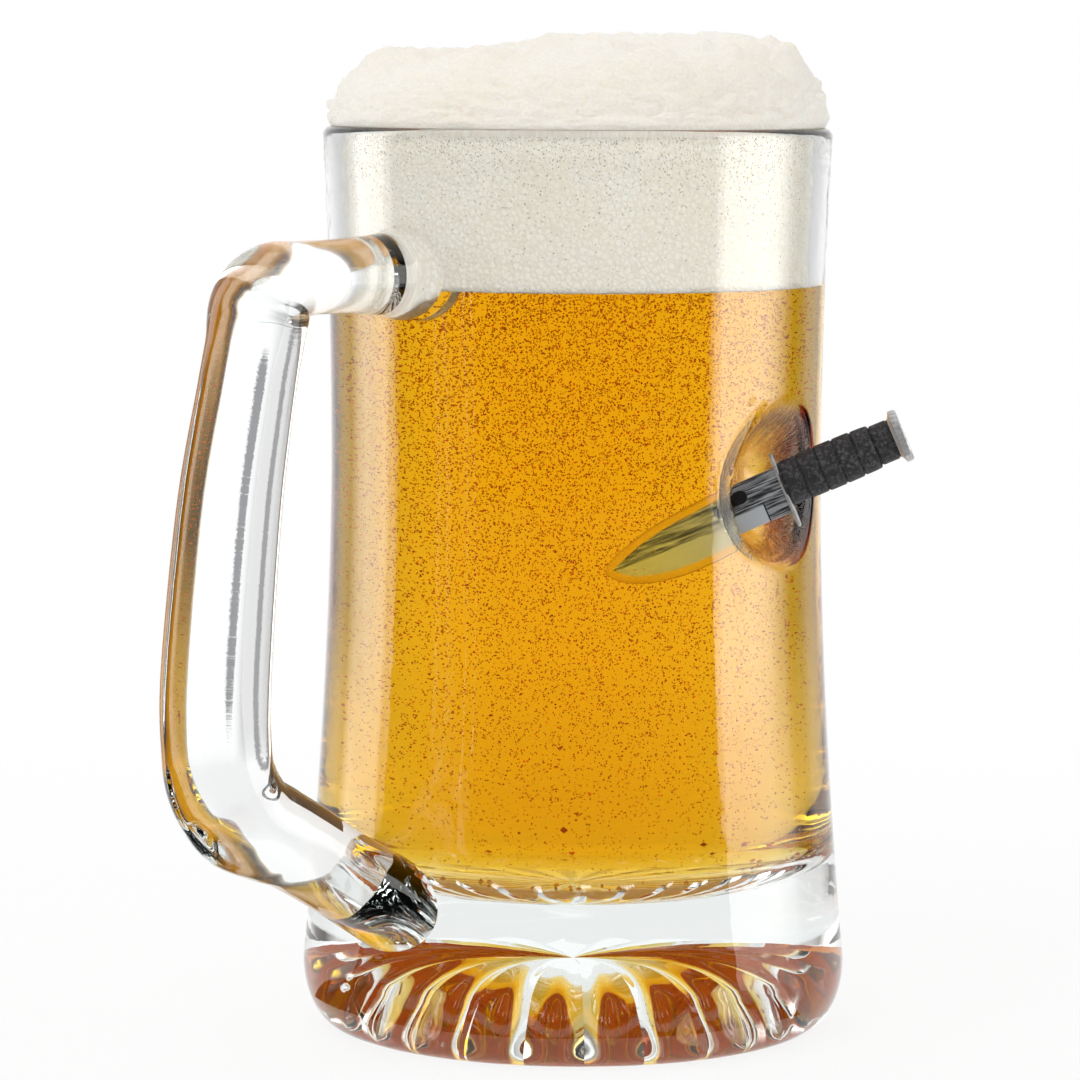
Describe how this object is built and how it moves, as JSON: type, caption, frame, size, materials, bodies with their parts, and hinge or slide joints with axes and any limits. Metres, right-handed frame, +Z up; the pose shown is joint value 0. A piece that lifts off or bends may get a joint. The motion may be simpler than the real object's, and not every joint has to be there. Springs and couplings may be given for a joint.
{
  "type": "beer mug",
  "caption": "Thick clear glass beer mug with a solid handle and a fluted base, full of beer, with a small knife stuck in a recess of its wall.",
  "frame": {"origin": "under the middle of the whole object's box, on the surface that the mug stands on", "axes": "+Z up along the mug's axis, -X towards the handle, and the knife stands out near -Y"},
  "size_m": [0.1472, 0.1128, 0.1808],
  "materials": {
    "body_glass": "polished",
    "handle_glass": "polished",
    "blade_steel": "satin",
    "fitting_steel": "satin",
    "grip_black": "matte",
    "beer": "polished",
    "froth": "matte"
  },
  "bodies": {
    "root": {"glass_body": "body_glass", "handle": "handle_glass", "blade": "blade_steel", "guard": "fitting_steel", "grip_ring_1": "grip_black", "grip_ring_2": "grip_black", "grip_ring_3": "grip_black", "grip_ring_4": "grip_black", "grip_ring_5": "grip_black", "grip_ring_6": "grip_black", "pommel": "fitting_steel", "beer": "beer", "foam_head": "froth"}
  },
  "joints": []
}
